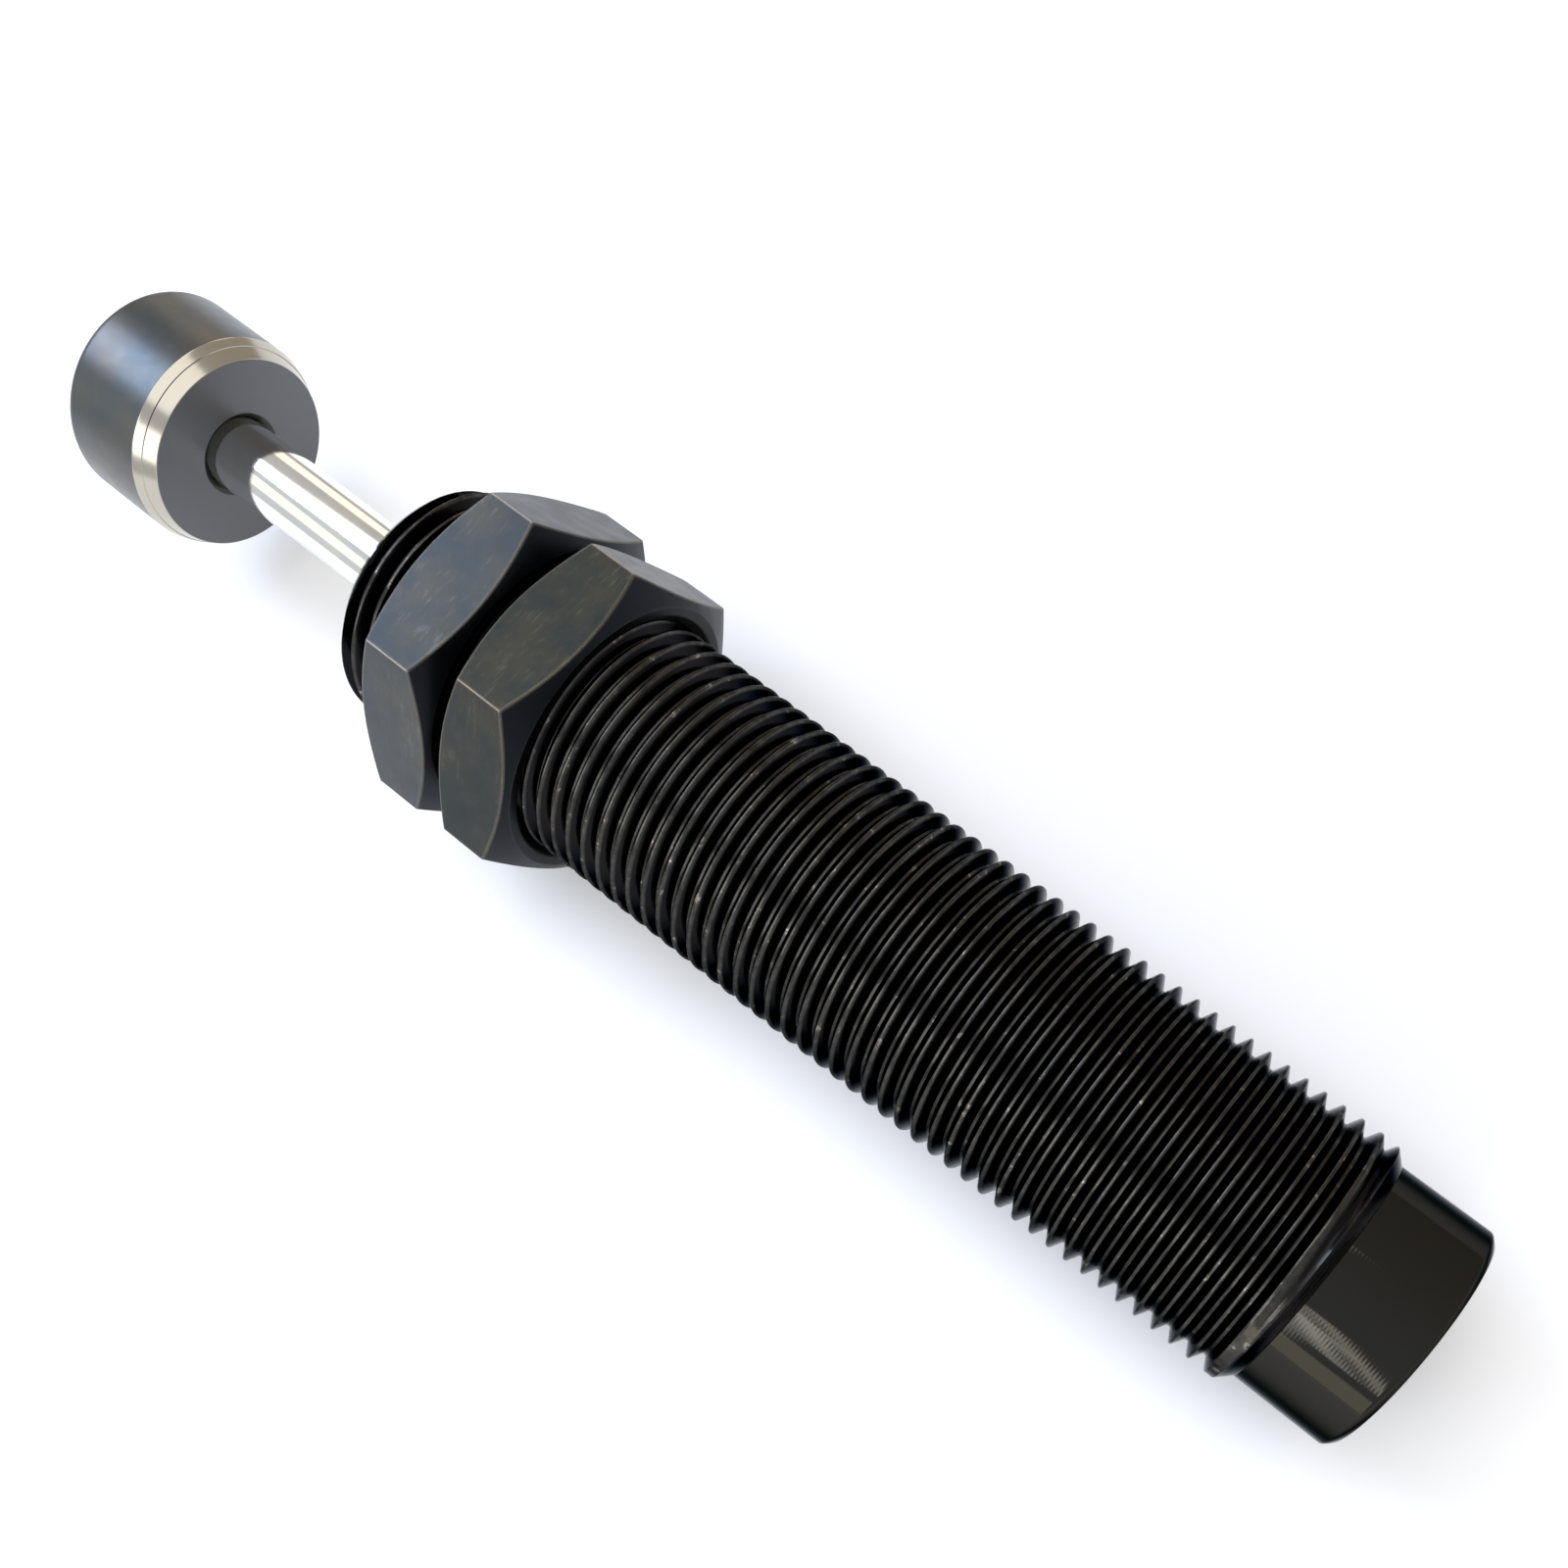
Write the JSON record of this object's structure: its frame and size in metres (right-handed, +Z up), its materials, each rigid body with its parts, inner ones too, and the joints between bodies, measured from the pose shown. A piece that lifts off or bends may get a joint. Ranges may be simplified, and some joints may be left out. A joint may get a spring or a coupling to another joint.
{
  "type": "industrial shock absorber",
  "caption": "Self-contained hydraulic shock absorber: threaded barrel with two hexagon lock nuts, sprung piston rod and round steel strike cap.",
  "frame": {"origin": "on the barrel's axis, in the rear face of the rear lock nut, where a bracket or machine wall seats", "axes": "+X along the barrel's axis towards the closed tail, so the rod and cap point to -X; +Z up as the part lies on a table with a nut corner down"},
  "size_m": [0.1252, 0.0276, 0.0248],
  "materials": {
    "black_oxide": "glossy oiled black oxide on turned steel",
    "nut_steel": "satin dark oxide",
    "cap_steel": "satin hardened steel, fine turned marks",
    "rod_chrome": "hard chrome, ground and polished",
    "spring_steel": "phosphated spring steel",
    "turned_steel": "fine turned steel",
    "bronze": "machined bearing bronze",
    "nitrile": "moulded nitrile rubber",
    "cell_foam": "closed-cell nitrile foam",
    "ring_plastic": "bronze-filled slide ring plastic",
    "ball_steel": "polished bearing steel"
  },
  "bodies": {
    "barrel_assembly": {"barrel": "black_oxide", "retaining_ring": "spring_steel", "front_cover": "black_oxide", "rod_wiper": "nitrile", "rod_seal": "nitrile", "rod_guide": "turned_steel", "guide_bush": "bronze", "guide_o_ring": "nitrile", "accumulator_foam": "cell_foam", "front_head": "turned_steel", "pressure_tube": "turned_steel", "return_spring": "spring_steel", "rear_head": "turned_steel", "fill_ball": "ball_steel", "fill_screw": "turned_steel"},
    "rod_assembly": {"piston_rod": "rod_chrome", "cap": "cap_steel", "piston": "bronze", "piston_ring": "ring_plastic", "ball_retainer": "spring_steel"},
    "valve_ball": {"check_ball": "ball_steel"},
    "front_nut": {"front_lock_nut": "nut_steel"},
    "rear_nut": {"rear_lock_nut": "nut_steel"}
  },
  "joints": [
    {"name": "rod_slide", "type": "slide", "parent": "barrel_assembly", "child": "rod_assembly", "axis": [1, 0, 0], "range_m": [0, 0.02], "stiffness_N_per_m": 600, "springref_m": -0.0133, "deforming": ["return_spring"]},
    {"name": "valve_ball_lift", "type": "slide", "parent": "rod_assembly", "child": "valve_ball", "axis": [1, 0, 0], "range_m": [0, 0.0012]},
    {"name": "front_nut_travel", "type": "slide", "parent": "barrel_assembly", "child": "front_nut", "axis": [-1, 0, 0], "range_m": [0, 0.004]},
    {"name": "rear_nut_travel", "type": "slide", "parent": "barrel_assembly", "child": "rear_nut", "axis": [1, 0, 0], "range_m": [0, 0.056]}
  ]
}
